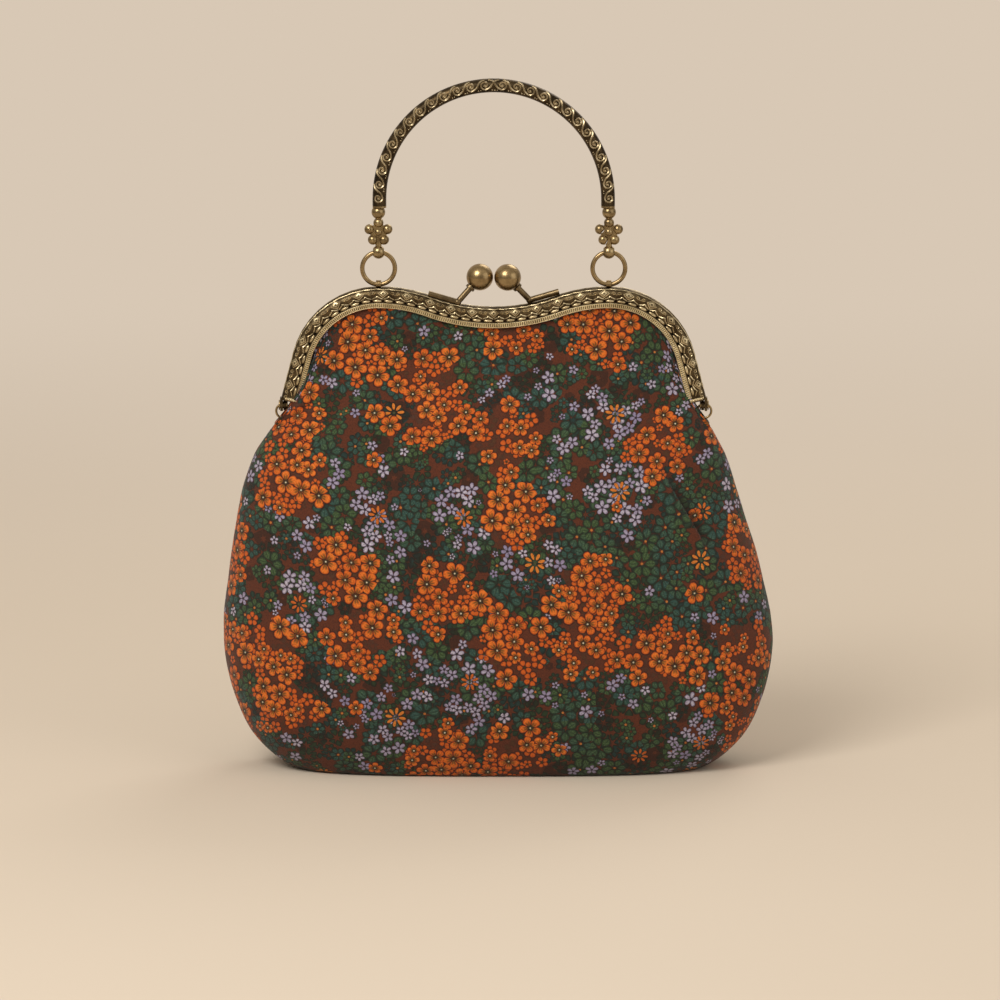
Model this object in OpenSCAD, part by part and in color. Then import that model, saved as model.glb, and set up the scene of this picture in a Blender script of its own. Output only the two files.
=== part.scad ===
// Kiss-lock frame handbag: floral cloth bag in a hinged channel frame, arch handle on two rings.
// Millimetres, +Z up, front faces -Y, base centre at the origin.

/* [Frame] */
// Distance of each hump of the frame from the middle
crest_x = 55; // [45:0.5:70]
// Height of the humps above the table
crest_z = 232.1; // [200:0.1:280]
// Drop from the humps to the dip in the middle
dip_depth = 9.7; // [4:0.1:14]
// Radius of the outer shoulders
shoulder_r = 42.5; // [36:0.5:60]
// Radius of the humps on their inner side
hump_r = 75; // [60:1:90]
// Lean of the straight legs from the vertical
leg_lean = 15; // [8:1:22]
// Length of the straight legs
leg_len = 22.5; // [16:0.5:32]
// Width of the metal band
band_w = 9; // [8:0.1:11]
// Depth of one frame half
half_t = 6; // [5:0.1:7]
// Radius of the embossed bead along the crest
bead_r = 2.6; // [2.2:0.1:3]
// Thickness of the channel walls
wall_t = 0.8; // [0.6:0.1:1.2]
// Height of the milled rim along the inner edge
rim_w = 2.3; // [1.5:0.1:3]
// Spacing of the stitch holes
hole_pitch = 5.4; // [4:0.1:8]
// Size of the triangular stitch holes
hole_r = 1.05; // [0.6:0.05:1.3]

/* [Hinge] */
// Hinge line below the ends of the legs
hinge_drop = 3.4; // [3:0.1:6]
// Thickness of each hinge tab
tab_t = 1.2; // [0.8:0.1:2]
// Radius of the tab ends
tab_r = 2.6; // [2.2:0.1:3.4]
// Outer radius of the hollow hinge eyelets
eyelet_r = 1.7; // [1.4:0.05:2]
// Bore of the hinge eyelets
eyelet_bore = 1.25; // [1:0.05:1.5]
// Radius of the eyelet flanges
flange_r = 2.4; // [2:0.1:3]
// Radius of the small side rings
side_ring_r = 3.4; // [3:0.1:5]
// Wire radius of the side rings
side_wire_r = 0.55; // [0.4:0.05:0.8]

/* [Clasp] */
// Radius of the clasp balls
ball_r = 6.4; // [5:0.1:8]
// Gap between the two balls
ball_gap = 0.5; // [0.3:0.1:1]
// Height of the ball centres above the dip
ball_rise = 14.8; // [12:0.1:20]
// How far each ball has snapped past the middle plane
ball_past = 0.6; // [0:0.1:1.5]
// Radius of the clasp arm rod
arm_r = 1.45; // [1:0.05:2]
// Where the arm lies on the frame, far end
arm_x1 = 31.2; // [26:0.1:40]
// Where the arm bends up to its ball
arm_x0 = 17.2; // [14:0.1:22]
// Radius of the collar under each ball
collar_r = 2.3; // [2:0.1:3]

/* [Handle] */
// Radius of the handle bar
bar_r = 3.3; // [2.5:0.1:4.5]
// Straight part of each handle leg
bar_leg = 4; // [1:0.5:10]
// Mean radius of the handle rings
ring_r = 7.8; // [6.5:0.1:10]
// Wire radius of the handle rings
ring_wire = 1.1; // [0.8:0.05:1.4]
// Radius of the bored bead at each handle end
end_bead_r = 3.2; // [3:0.1:4]
// Radius of the petal beads
petal_r = 2.45; // [2:0.05:3]

/* [Bag] */
// Width of the flat base
base_w = 194; // [160:1:230]
// Depth of the flat base
base_d = 62; // [40:1:90]
// Width of the belly
belly_w = 262.6; // [230:0.1:300]
// Depth of the belly
belly_d = 90; // [70:1:120]
// Height of the belly's widest level
belly_z = 60; // [40:1:90]
// Width of the neck under the hinges
neck_w = 208; // [190:1:220]
// Depth of the neck at the hinges
neck_d = 37; // [28:1:50]
// Thickness of the floral cloth
cloth_t = 1.6; // [1:0.1:2]
// Thickness of the lining
lining_t = 0.8; // [0.5:0.1:1]
// Depth of the gathers under the frame
fold_depth = 1.5; // [0:0.1:3]
// Gathers across one panel
fold_count = 7; // [3:1:11]

/* [Hidden] */
$fn = 48;

brass = [0.56, 0.45, 0.28];
cloth_tone = [0.42, 0.2, 0.14];
lining_tone = [0.72, 0.6, 0.46];
gap = 0.3;
part_gap = 0.15;

// Frame curve: dip arc, hump arcs, shoulder arcs and straight legs, tangent to each other
ha = 2 * atan(dip_depth / crest_x);
sa = 90 - leg_lean;
dip_r = crest_x / sin(ha) - hump_r;
dip_z = crest_z - dip_depth;
dip_cz = dip_z + dip_r;
shoulder_cz = crest_z - shoulder_r;
hump_cz = crest_z - hump_r;
leg_top = [crest_x + shoulder_r * cos(leg_lean), shoulder_cz + shoulder_r * sin(leg_lean)];
leg_end = leg_top + leg_len * [sin(leg_lean), -cos(leg_lean)];
hinge_z = leg_end[1] - hinge_drop;
rad = PI / 180;

// Channel section
bead_w = half_t - bead_r;
face_w = half_t - 0.6;
slot_out = face_w - wall_t;
slot_in = part_gap + wall_t + 0.05;
hole_d = 5.65;
cap_t = 1.2;

// Lengths of the curve's four stretches at a given distance inside the crest
function len0(d) = (dip_r + d) * ha * rad;
function len1(d) = (hump_r - d) * ha * rad;
function len2(d) = (shoulder_r - d) * sa * rad;
function run(d) = len0(d) + len1(d) + len2(d) + leg_len;

// Point [x, z, slope] at arc length s from the middle, d inside the crest, right side
function on_dip(s, d) =
    let (t = s / (dip_r + d) / rad)
    [(dip_r + d) * sin(t), dip_cz - (dip_r + d) * cos(t), t];
function on_hump(s, d) =
    let (t = ha - s / (hump_r - d) / rad)
    [crest_x - (hump_r - d) * sin(t), hump_cz + (hump_r - d) * cos(t), t];
function on_shoulder(s, d) =
    let (t = s / (shoulder_r - d) / rad)
    [crest_x + (shoulder_r - d) * sin(t), shoulder_cz + (shoulder_r - d) * cos(t), -t];
function on_leg(s, d) =
    [leg_top[0] - d * cos(leg_lean) + s * sin(leg_lean),
     leg_top[1] - d * sin(leg_lean) - s * cos(leg_lean), -sa];
function right_at(s, d) =
    s < len0(d) ? on_dip(s, d) :
    s < len0(d) + len1(d) ? on_hump(s - len0(d), d) :
    s < len0(d) + len1(d) + len2(d) ? on_shoulder(s - len0(d) - len1(d), d) :
    on_leg(s - len0(d) - len1(d) - len2(d), d);
function at(s, d) =
    let (p = right_at(abs(s), d))
    s < 0 ? [-p[0], p[1], -p[2]] : p;

function crest_at(x) =
    abs(x) < dip_r * sin(ha) ? dip_cz - sqrt(dip_r * dip_r - x * x) :
    hump_cz + sqrt(hump_r * hump_r - (crest_x - abs(x)) * (crest_x - abs(x)));

// Section across the band: first axis inward from the crest, second away from the parting plane
module channel_2d(e = 0) {
    difference() {
        union() {
            translate([bead_r, bead_w]) circle(r = bead_r + e);
            translate([bead_r, slot_out - e]) square([band_w - bead_r + e, wall_t + 2 * e]);
            translate([band_w - rim_w - e, slot_out - e]) square([rim_w + 2 * e, wall_t + 0.45 + 2 * e]);
            translate([0.9 - e, part_gap - e]) square([2.2, bead_w - part_gap + e]);
            translate([bead_r, part_gap - e]) square([band_w - 1 - bead_r + e, wall_t + 0.05 + 2 * e]);
        }
        translate([2.8, slot_in + e]) square([band_w, slot_out - slot_in - 2 * e]);
        translate([2.8, (slot_in + slot_out) / 2]) circle(r = (slot_out - slot_in) / 2 - e);
    }
}

module cap_2d() {
    translate([0.4, part_gap]) square([band_w - 0.4, face_w - part_gap]);
}

// Stretches of the band stop a hair short of each other under a thin brazed sleeve
hair = 0.02;

module convex(r, cx, cz, from, sweep) {
    translate([cx, 0, cz]) rotate([90, 0, 0]) rotate([0, 0, from + hair])
        rotate_extrude(angle = sweep - 2 * hair) translate([r, 0]) mirror([1, 0]) channel_2d();
}

module concave() {
    translate([0, 0, dip_cz]) rotate([90, 0, 0]) rotate([0, 0, 270 - ha + hair])
        rotate_extrude(angle = 2 * ha - 2 * hair) translate([dip_r, 0]) channel_2d();
}

module leg_run(length) {
    c = cos(leg_lean);
    s = sin(leg_lean);
    multmatrix([[-c, 0, -s, leg_end[0]], [0, -1, 0, 0], [-s, 0, c, leg_end[1]], [0, 0, 0, 1]])
        linear_extrude(height = length) children();
}

module sleeve(p) {
    c = cos(p[2]);
    s = sin(p[2]);
    multmatrix([[s, 0, -c, p[0]], [0, -1, 0, 0], [-c, 0, -s, p[1]], [0, 0, 0, 1]])
        translate([0, 0, -0.6]) linear_extrude(height = 1.2) channel_2d(0.03);
}

module right_run() {
    convex(shoulder_r, crest_x, shoulder_cz, leg_lean, sa);
    convex(hump_r, crest_x, hump_cz, 90, ha);
    leg_run(leg_len - hair) channel_2d();
    leg_run(cap_t) cap_2d();
    sleeve(on_leg(0, 0));
    sleeve([crest_x, crest_z, 0]);
    sleeve(on_dip(len0(0), 0));
}

module stitch_holes() {
    count = floor((run(hole_d) - 3) / hole_pitch);
    for (i = [-count:count]) {
        p = at(i * hole_pitch, hole_d);
        translate([p[0], -slot_out + 0.3, p[1]]) rotate([90, 0, 0]) rotate([0, 0, p[2] + 90])
            linear_extrude(height = wall_t + 1.2) circle(r = hole_r, $fn = 3);
    }
}

// Flat tab on a leg end, bored for the hinge eyelet
module hinge_tab(x) {
    translate([x, 0, hinge_z]) rotate([90, 0, 90]) linear_extrude(height = tab_t) difference() {
        union() {
            circle(r = tab_r);
            translate([-4.6, 0]) square([3.6, hinge_drop + 0.8]);
            translate([-3, -tab_r]) square([3, 2 * tab_r]);
        }
        circle(r = eyelet_r + 0.05);
    }
}

tab_back = leg_end[0] - 2.3;
tab_front = tab_back + tab_t + gap;

module frame_half(tab_x) {
    difference() {
        union() {
            right_run();
            mirror([1, 0, 0]) right_run();
            concave();
            hinge_tab(tab_x);
            mirror([1, 0, 0]) hinge_tab(tab_x);
        }
        stitch_holes();
    }
}

module front_frame() {
    color(brass) frame_half(tab_front);
}

module back_frame() {
    color(brass) mirror([0, 1, 0]) frame_half(tab_back);
}

eyelet_x0 = tab_back - 0.75;
eyelet_len = 2 * tab_t + gap + 1.5;

module eyelet() {
    translate([eyelet_x0, 0, hinge_z]) rotate([0, 90, 0]) difference() {
        union() {
            cylinder(r = eyelet_r, h = eyelet_len);
            cylinder(r = flange_r, h = 0.5);
            translate([0, 0, eyelet_len - 0.5]) cylinder(r = flange_r, h = 0.5);
        }
        translate([0, 0, -1]) cylinder(r = eyelet_bore, h = eyelet_len + 2);
    }
}

module right_hinge_eyelet() {
    color(brass) eyelet();
}

module left_hinge_eyelet() {
    color(brass) mirror([1, 0, 0]) eyelet();
}

side_x = eyelet_x0 + eyelet_len / 2;

module side_ring() {
    translate([side_x, 0, hinge_z - side_ring_r + 0.4]) rotate([90, 0, 0])
        rotate_extrude() translate([side_ring_r, 0]) circle(r = side_wire_r);
}

module right_side_ring() {
    color(brass) side_ring();
}

module left_side_ring() {
    color(brass) mirror([1, 0, 0]) side_ring();
}

// Handle hardware
lug_bore = ring_wire + 0.3;
lug_r = lug_bore + 0.65;
lug_w = 2.4;
lug_z = crest_z - 0.9 + gap + 0.15 + lug_r;
ring_z = lug_z + ring_r;
bead_z = ring_z + ring_r;

module lug() {
    difference() {
        union() {
            translate([crest_x - lug_w / 2, 0, lug_z]) rotate([0, 90, 0])
                cylinder(r = lug_r, h = lug_w);
            translate([crest_x - lug_w / 2, part_gap + 0.2, crest_z - 0.87])
                cube([lug_w, 1.1, lug_z - crest_z + 0.87]);
        }
        translate([crest_x - lug_w, 0, lug_z]) rotate([0, 90, 0])
            cylinder(r = lug_bore, h = 2 * lug_w);
    }
}

module right_handle_lug() {
    color(brass) lug();
}

module left_handle_lug() {
    color(brass) mirror([1, 0, 0]) lug();
}

module handle_ring() {
    translate([crest_x, 0, ring_z]) rotate([90, 0, 0])
        rotate_extrude() translate([ring_r, 0]) circle(r = ring_wire);
}

module right_handle_ring() {
    color(brass) handle_ring();
}

module left_handle_ring() {
    color(brass) mirror([1, 0, 0]) handle_ring();
}

bar_x = crest_x - 0.5;
rosette_z = bead_z + 9.6;
barrel_z = bead_z + 19.2;
bar_z0 = barrel_z + 2.2;
arch_z = bar_z0 + bar_leg;

// One bead drop: bored bead, rosette of five petal beads round a centre bead, barrel bead
module drop() {
    difference() {
        union() {
            translate([crest_x, 0, bead_z]) sphere(r = end_bead_r);
            translate([crest_x, 0, bead_z + 1.9]) cylinder(r = 1.5, h = barrel_z - bead_z - 1.9);
            for (k = [0:4]) {
                a = 90 + 72 * k;
                translate([crest_x + 4.5 * cos(a), 0, rosette_z + 4.5 * sin(a)])
                    rotate([90, 0, 0]) sphere(r = petal_r);
            }
            translate([crest_x, 1.2, rosette_z]) rotate([90, 0, 0]) cylinder(r = 4.1, h = 2.4);
            translate([crest_x, 0, rosette_z]) rotate([90, 0, 0]) sphere(r = 2.1);
            translate([crest_x, 0, barrel_z]) sphere(r = bar_r);
        }
        translate([crest_x - 5, 0, bead_z]) rotate([0, 90, 0])
            cylinder(r = ring_wire + 0.8, h = 10);
    }
}

module bar_foot() {
    translate([bar_x, 0, bar_z0]) cylinder(r = bar_r, h = bar_leg);
    drop();
}

module handle() {
    color(brass) {
        translate([0, 0, arch_z]) rotate([90, 0, 0]) rotate_extrude(angle = 180)
            translate([bar_x, 0]) circle(r = bar_r);
        bar_foot();
        mirror([1, 0, 0]) bar_foot();
    }
}

// Clasp: left arm on the front half, right arm on the back half
arm_y = -bead_w;
ball_x = ball_r + ball_gap / 2;
arm_lift = arm_r + 0.12;
arm_end = [-arm_x1, arm_y, crest_at(arm_x1) + arm_lift];
arm_bend = [-arm_x0, arm_y, crest_at(arm_x0) + arm_lift];
ball_at = [-ball_x, ball_past, dip_z + ball_rise];
arm_dir = (ball_at - arm_bend) / norm(ball_at - arm_bend);

module rod(p, q, r) {
    v = q - p;
    translate(p) rotate([0, acos(v[2] / norm(v)), atan2(v[1], v[0])])
        cylinder(r = r, h = norm(v));
}

module arm() {
    rod(arm_end, arm_bend, arm_r);
    translate(arm_bend) sphere(r = arm_r + 0.3);
    rod(arm_bend, ball_at - arm_dir * (ball_r - 3), arm_r);
    rod(ball_at - arm_dir * (ball_r + 1.1), ball_at - arm_dir * (ball_r - 0.02), collar_r);
}

module ball() {
    difference() {
        translate(ball_at) sphere(r = ball_r);
        rod(ball_at - arm_dir * (ball_r + 1), ball_at - arm_dir * (ball_r - 3.3), arm_r + 0.05);
        rod(ball_at - arm_dir * (ball_r + 2), ball_at - arm_dir * (ball_r - 0.4), collar_r + 0.4);
    }
}

module front_clasp_arm() {
    color(brass) arm();
}

module front_clasp_ball() {
    color(brass) ball();
}

module back_clasp_arm() {
    color(brass) rotate([0, 0, 180]) arm();
}

module back_clasp_ball() {
    color(brass) rotate([0, 0, 180]) ball();
}

// Bag surface: half-width and half-depth at each height, superellipse plan
cols = 24;
rows = 13;
neck_z = hinge_z - 1;
side_drop = 8;
seam_half = 0.43 * base_w;

function swell(z, low, mid, top, zt) =
    z <= 0 ? low :
    z < belly_z ? low + (mid - low) * pow(1 - pow(1 - z / belly_z, 2), 0.7) :
    mid - (mid - top) * pow((z - belly_z) / (zt - belly_z), 1.7);
function half_w(z) = swell(z, base_w / 2, belly_w / 2, neck_w / 2, neck_z - side_drop);
function half_d(z) = swell(z, base_d / 2, belly_d / 2, neck_d / 2, neck_z);
function plan_n(z) = 3 - 0.8 * min(1, z / belly_z);
function sgn_pow(v, p) = sign(v) * pow(abs(v), p);
function ripple(phi, z) = fold_depth * cos(2 * fold_count * phi) * pow(z / neck_z, 5);

function dip_to(phi) = side_drop * pow(abs(sin(phi)), 14);

function low_pt(u, h) =
    let (phi = 90 * u, z = h * (neck_z - dip_to(phi)))
    let (p = 2 / plan_n(z), c = pow(abs(cos(phi)), p))
    [half_w(z) * sgn_pow(sin(phi), p), -(half_d(z) + ripple(phi, z)) * c, z];

function col_u(i) = 2 * i / cols - 1;
function low_row(j) =
    j == 0 ? [for (i = [0:cols]) [seam_half * col_u(i), 0, 0]] :
    [for (i = [0:cols]) low_pt(col_u(i), pow((j - 1) / (rows - 1), 1.35))];
low_grid = [for (j = [0:rows]) low_row(j)];

// Upper cloth: from the neck up into the slot of the frame half
mouth_w = leg_end[0] - 10.4;
cloth_w = slot_out - gap;
lap_d = band_w + 1;
edge_d = 3.6;
mouth_rows = 6;
neck_gap = 1.7;

function neck_y(x, z) =
    let (n = plan_n(z), a = half_w(z), f = min(1, abs(x) / a))
    let (phi = asin(pow(f, n / 2)))
    max(cloth_w + 0.4, (half_d(z) + ripple(phi, z)) * pow(1 - pow(f, n), 1 / n));
function hang(u) =
    let (x = mouth_w * u, phi = asin(pow(abs(x) / half_w(neck_z), plan_n(neck_z) / 2)))
    [x, -neck_y(x, neck_z), neck_z + neck_gap - dip_to(phi)];
function held(u, d) =
    let (p = at(u * (run(d) - cap_t - 2.2), d))
    [p[0], -cloth_w, p[1]];
function mouth_pt(u, j) =
    j == mouth_rows ? held(u, edge_d) :
    let (e = j / (mouth_rows - 1), a = hang(u), b = held(u, lap_d))
    [a[0] + (b[0] - a[0]) * e,
     b[1] + (a[1] - b[1]) * pow(1 - e, 1.7),
     a[2] + (b[2] - a[2]) * e];
mouth_grid = [for (j = [0:mouth_rows]) [for (i = [0:cols]) mouth_pt(col_u(i), j)]];

// Outward unit normals of a grid; the side columns and the base stay on their planes
function unit(v) = v / norm(v);
function raw_n(g, j, i) =
    let (m = len(g) - 1, n = len(g[0]) - 1)
    unit(cross(g[j][min(n, i + 1)] - g[j][max(0, i - 1)],
               g[min(m, j + 1)][i] - g[max(0, j - 1)][i]));
function low_n(g, j, i) =
    let (n = raw_n(g, j, i), edge = i == 0 || i == len(g[0]) - 1)
    j == 0 ? [0, 0, -1] : edge ? unit([n[0], 0, n[2]]) : n;
function inset_low(t) =
    [for (j = [0:rows]) [for (i = [0:cols]) low_grid[j][i] - t * low_n(low_grid, j, i)]];
function mouth_n(g, j, i) =
    j >= mouth_rows - 1 ? [0, -1, 0] : raw_n(g, j, i);
function inset_mouth(t) =
    [for (j = [0:mouth_rows]) [for (i = [0:cols]) mouth_grid[j][i] - t * mouth_n(mouth_grid, j, i)]];

// Closed sheet between two grids
module sheet(o, n) {
    r = len(o);
    c = len(o[0]);
    k = r * c;
    skin = [for (a = [0:r - 2], b = [0:c - 2]) let (p = a * c + b)
        each 2 * b < c - 1 ? [[p, p + 1, p + c + 1], [p, p + c + 1, p + c]] :
            [[p, p + 1, p + c], [p + 1, p + c + 1, p + c]]];
    low = [for (b = [0:c - 2]) each [[b + 1, b, b + k], [b + 1, b + k, b + 1 + k]]];
    top = [for (b = [0:c - 2]) let (p = (r - 1) * c + b)
        each [[p, p + 1, p + 1 + k], [p, p + 1 + k, p + k]]];
    near = [for (a = [0:r - 2]) let (p = a * c) each [[p, p + c, p + c + k], [p, p + c + k, p + k]]];
    far = [for (a = [0:r - 2]) let (p = a * c + c - 1)
        each [[p + c, p, p + k], [p + c, p + k, p + c + k]]];
    back = [for (f = skin) [f[2] + k, f[1] + k, f[0] + k]];
    all = concat(skin, low, top, near, far, back);
    polyhedron(points = [each for (w = o) w, each for (w = n) w],
        faces = [for (f = all) [f[2], f[1], f[0]]], convexity = 8);
}

lining_off = cloth_t + gap;

module front_panel() {
    color(cloth_tone) sheet(low_grid, inset_low(cloth_t));
}

module back_panel() {
    color(cloth_tone) mirror([0, 1, 0]) sheet(low_grid, inset_low(cloth_t));
}

module front_lining() {
    color(lining_tone) sheet(inset_low(lining_off), inset_low(lining_off + lining_t));
}

module back_lining() {
    color(lining_tone) mirror([0, 1, 0])
        sheet(inset_low(lining_off), inset_low(lining_off + lining_t));
}

module front_mouth_panel() {
    color(cloth_tone) sheet(mouth_grid, inset_mouth(cloth_t));
}

module back_mouth_panel() {
    color(cloth_tone) mirror([0, 1, 0]) sheet(mouth_grid, inset_mouth(cloth_t));
}

module front_mouth_lining() {
    color(lining_tone) sheet(inset_mouth(lining_off), inset_mouth(lining_off + lining_t));
}

module back_mouth_lining() {
    color(lining_tone) mirror([0, 1, 0])
        sheet(inset_mouth(lining_off), inset_mouth(lining_off + lining_t));
}

front_frame();
back_frame();
left_hinge_eyelet();
right_hinge_eyelet();
left_side_ring();
right_side_ring();
left_handle_lug();
right_handle_lug();
left_handle_ring();
right_handle_ring();
handle();
front_clasp_arm();
front_clasp_ball();
back_clasp_arm();
back_clasp_ball();
front_panel();
back_panel();
front_lining();
back_lining();
front_mouth_panel();
back_mouth_panel();
front_mouth_lining();
back_mouth_lining();
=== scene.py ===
"""Dresses the kiss-lock frame handbag: floral cloth, lining, brass relief and handle scrolls."""

import logging
import math
from dataclasses import dataclass, field
from enum import Enum
from typing import Callable

import bmesh
import bpy
import numpy as np
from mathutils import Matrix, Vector


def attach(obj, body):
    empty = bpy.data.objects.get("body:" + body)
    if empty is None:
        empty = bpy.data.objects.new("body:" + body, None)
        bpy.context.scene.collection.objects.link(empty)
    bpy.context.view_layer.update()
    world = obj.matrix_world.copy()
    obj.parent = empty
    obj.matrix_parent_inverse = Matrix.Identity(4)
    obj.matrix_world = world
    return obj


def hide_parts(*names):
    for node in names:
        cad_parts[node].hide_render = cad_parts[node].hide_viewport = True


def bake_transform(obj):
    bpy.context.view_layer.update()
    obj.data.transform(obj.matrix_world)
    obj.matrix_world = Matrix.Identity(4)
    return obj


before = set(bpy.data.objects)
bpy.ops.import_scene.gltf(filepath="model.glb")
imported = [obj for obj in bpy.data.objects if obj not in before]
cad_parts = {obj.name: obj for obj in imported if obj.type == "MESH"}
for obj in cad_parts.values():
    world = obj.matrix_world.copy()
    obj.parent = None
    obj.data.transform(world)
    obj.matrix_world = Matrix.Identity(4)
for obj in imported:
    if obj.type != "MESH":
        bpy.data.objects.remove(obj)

LOG = logging.getLogger("handbag")
MM = 0.001
TAU = 2 * math.pi
PATCH = 37.0
Array = np.ndarray
Material = bpy.types.Material
Node = bpy.types.Node
Object = bpy.types.Object
Colour = tuple[float, float, float, float]
Place = Callable[[Array, Array, Array], Array]


def srgb(r: int, g: int, b: int) -> Colour:
    """Turns a screen colour into shader values.

    Args:
        r: Red, 0 to 255.
        g: Green, 0 to 255.
        b: Blue, 0 to 255.

    Returns:
        The linear colour with full alpha.
    """
    def line(v: int) -> float:
        """One channel made linear."""
        c = v / 255
        return c / 12.92 if c <= 0.04045 else ((c + 0.055) / 1.055) ** 2.4
    return (line(r), line(g), line(b), 1.0)


class Side(Enum):
    """Which half of the bag a piece belongs to."""

    FRONT = "front"
    BACK = "back"

    @property
    def sign(self) -> float:
        """1 for the front, and -1 for the back, which is the front turned half round."""
        return 1.0 if self is Side.FRONT else -1.0

    @property
    def print_at(self) -> tuple[float, float]:
        """Where the piece lies on the printed cloth, in mm."""
        return (-260.0, 540.0) if self is Side.FRONT else (417.0, 233.0)

    @property
    def body(self) -> str:
        """The frame half that the piece rides on."""
        return f"{self.value}_half"


def operator(operation: str, flip: bool = False) -> Callable[["Value", "Value | float"], "Value"]:
    """Makes an operator of shader values.

    Args:
        operation: The Math node's operation.
        flip: Takes the other value first.

    Returns:
        The operator's method.
    """
    def apply(self: "Value", other: "Value | float") -> "Value":
        """The result of the Math node."""
        return self.graph.math(operation, *((other, self) if flip else (self, other)))
    return apply


class Value:
    """A shader socket that plain arithmetic can be written with; comparisons give 1 or 0."""

    __add__ = operator("ADD")
    __sub__ = operator("SUBTRACT")
    __rsub__ = operator("SUBTRACT", flip=True)
    __mul__ = operator("MULTIPLY")
    __truediv__ = operator("DIVIDE")
    __lt__ = operator("LESS_THAN")
    __gt__ = operator("GREATER_THAN")

    def __init__(self, graph: "Graph", socket: bpy.types.NodeSocket) -> None:
        """Keeps the socket and the graph it belongs to."""
        self.graph = graph
        self.socket = socket


class Graph:
    """The node tree of a material or the world, with one way to add any node."""

    def __init__(self, name: str, world: "bpy.types.World | None" = None) -> None:
        """Starts an empty tree in a new material, or in the world that is given."""
        self.material = bpy.data.materials.new(name) if world is None else None
        holder = world or self.material
        holder.use_nodes = True
        self.tree = holder.node_tree
        self.tree.nodes.clear()

    @staticmethod
    def _find(sockets: bpy.types.bpy_prop_collection, key: "str | int") -> bpy.types.NodeSocket:
        """Finds a socket by number, identifier or name."""
        if isinstance(key, int):
            return sockets[key]
        for socket in sockets:
            if socket.identifier == key:
                return socket
        return sockets[key]

    def node(self, kind: str, settings: "dict | None" = None,
             sockets: "dict | None" = None) -> Node:
        """Adds a node.

        Args:
            kind: The node's type, without its ShaderNode.
            settings: Its own settings, set first.
            sockets: Values or links of its inputs.

        Returns:
            The new node.
        """
        made = self.tree.nodes.new(f"ShaderNode{kind}")
        for key, setting in (settings or {}).items():
            setattr(made, key, setting)
        for key, feed in (sockets or {}).items():
            target = self._find(made.inputs, key)
            if isinstance(feed, Value):
                self.tree.links.new(feed.socket, target)
            else:
                target.default_value = feed
        return made

    def out(self, made: Node, key: "str | int" = 0) -> Value:
        """One output of a node as a value."""
        return Value(self, self._find(made.outputs, key))

    def math(self, operation: str, *feeds: "Value | float") -> Value:
        """A Math node on values and numbers."""
        return self.out(self.node("Math", {"operation": operation}, dict(enumerate(feeds))))

    def vector(self, operation: str, a: "Value | tuple", b: "Value | tuple") -> Value:
        """A Vector Math node on two vectors."""
        return self.out(self.node("VectorMath", {"operation": operation}, {0: a, 1: b}))

    def mix(self, share: "Value | float", a: "Value | Colour", b: "Value | Colour") -> Value:
        """A colour between two colours."""
        made = self.node("Mix", {"data_type": "RGBA"},
                         {"Factor_Float": share, "A_Color": a, "B_Color": b})
        return self.out(made, "Result_Color")

    def step(self, feed: Value, low: float, high: float, start: float = 0.0,
             end: float = 1.0) -> Value:
        """A smooth step from start to end as the feed goes from low to high."""
        made = self.node("MapRange", {"interpolation_type": "SMOOTHSTEP"},
                         {"Value": feed, "From Min": low, "From Max": high,
                          "To Min": start, "To Max": end})
        return self.out(made, "Result")

    def split(self, feed: Value) -> tuple[Value, Value, Value]:
        """The three parts of a vector."""
        made = self.node("SeparateXYZ", None, {"Vector": feed})
        return self.out(made, "X"), self.out(made, "Y"), self.out(made, "Z")

    def turned(self, feed: Value, angle: float) -> Value:
        """A vector turned about z by an angle in radians."""
        return self.out(self.node("VectorRotate", {"rotation_type": "Z_AXIS"},
                                  {"Vector": feed, "Angle": angle}))

    def noise(self, at: Value, scale: float, detail: float = 2.0) -> Value:
        """Soft noise from 0 to 1."""
        made = self.node("TexNoise", None, {"Vector": at, "Scale": scale, "Detail": detail})
        return self.out(made, 0)

    def cells(self, at: Value, size: float, jitter: float, feature: str = "F1") -> Node:
        """Scattered cells of a size in mm."""
        return self.node("TexVoronoi", {"voronoi_dimensions": "2D", "feature": feature},
                         {"Vector": at, "Scale": 1 / size, "Randomness": jitter})

    def lots(self, cell: Node) -> tuple[Value, Value, Value]:
        """Three chance values of each cell."""
        made = self.node("SeparateColor", None, {"Color": self.out(cell, "Color")})
        return self.out(made, "Red"), self.out(made, "Green"), self.out(made, "Blue")

    def weave(self, pitch: float) -> tuple[Value, Value]:
        """Cloth coordinates in mm, and the height of threads of a pitch in mm."""
        uv = self.out(self.node("UVMap", {"uv_map": "cloth"}))
        cloth = self.vector("MULTIPLY", uv, (1 / MM, 1 / MM, 0.0))
        x, y, _ = self.split(cloth)
        return cloth, self.math("SINE", x * (TAU / pitch)) * self.math("SINE", y * (TAU / pitch))

    def bump(self, strength: float, distance: float, height: Value) -> Value:
        """The normal of a surface with a height."""
        return self.out(self.node("Bump", None,
                                  {"Strength": strength, "Distance": distance, "Height": height}))

    def surface(self, fixed: dict, feeds: dict) -> Material:
        """Closes the tree with a Principled surface.

        Args:
            fixed: Values that are the same all over.
            feeds: Links that change over the surface.

        Returns:
            The finished material.
        """
        shader = self.node("BsdfPrincipled", None, {**fixed, **feeds})
        self.node("OutputMaterial", None, {"Surface": self.out(shader)})
        return self.material


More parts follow.
